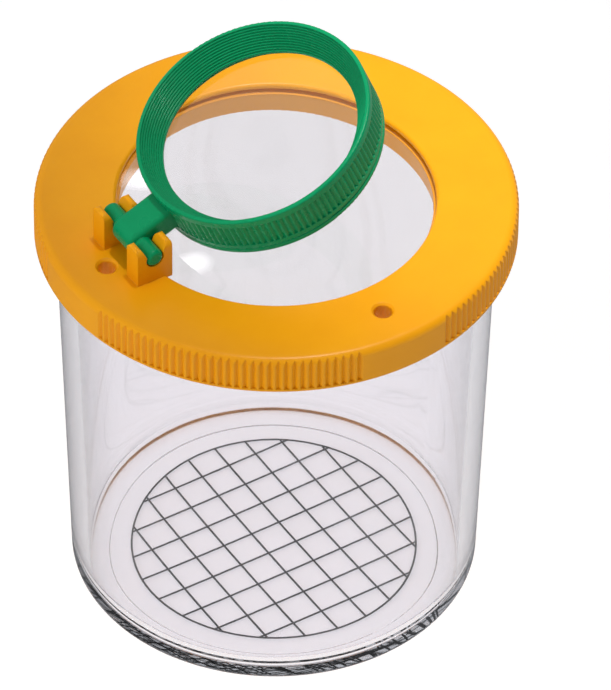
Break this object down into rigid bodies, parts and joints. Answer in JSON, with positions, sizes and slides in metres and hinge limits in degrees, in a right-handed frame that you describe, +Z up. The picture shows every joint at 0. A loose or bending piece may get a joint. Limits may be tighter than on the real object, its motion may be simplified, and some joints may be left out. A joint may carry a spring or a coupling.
{
  "type": "bug catcher jar",
  "caption": "Clear round specimen jar with a measuring grid under its floor, a lift-off magnifier lid with air holes, and a folding loupe hinged on the lid.",
  "frame": {"origin": "centre of the jar's foot, on the table", "axes": "+Z up along the jar's axis, -X towards the hinge of the loupe, Y along the hinge axis"},
  "size_m": [0.0728, 0.0728, 0.0946],
  "materials": {
    "clear_jar": "clear moulded polystyrene",
    "grid_ink": "printed black ink",
    "yellow_plastic": "satin moulded yellow plastic",
    "clear_lens": "polished clear acrylic",
    "green_plastic": "glossy moulded green plastic"
  },
  "bodies": {
    "jar": {"jar": "clear_jar", "measuring_grid": "grid_ink"},
    "lid": {"lid": "yellow_plastic", "lid_lens": "clear_lens", "lid_lens_ring": "yellow_plastic"},
    "loupe": {"loupe_frame": "green_plastic", "loupe_lens": "clear_lens", "loupe_lens_ring": "green_plastic"}
  },
  "joints": [
    {"name": "lid_lift", "type": "slide", "parent": "jar", "child": "lid", "axis": [0, 0, 1], "range_m": [0, 0.03]},
    {"name": "loupe_swing", "type": "hinge", "parent": "lid", "child": "loupe", "pos_m": [-0.0252, 0, 0.0752], "axis": [0, -1, 0], "range_deg": [-22, 158]}
  ]
}
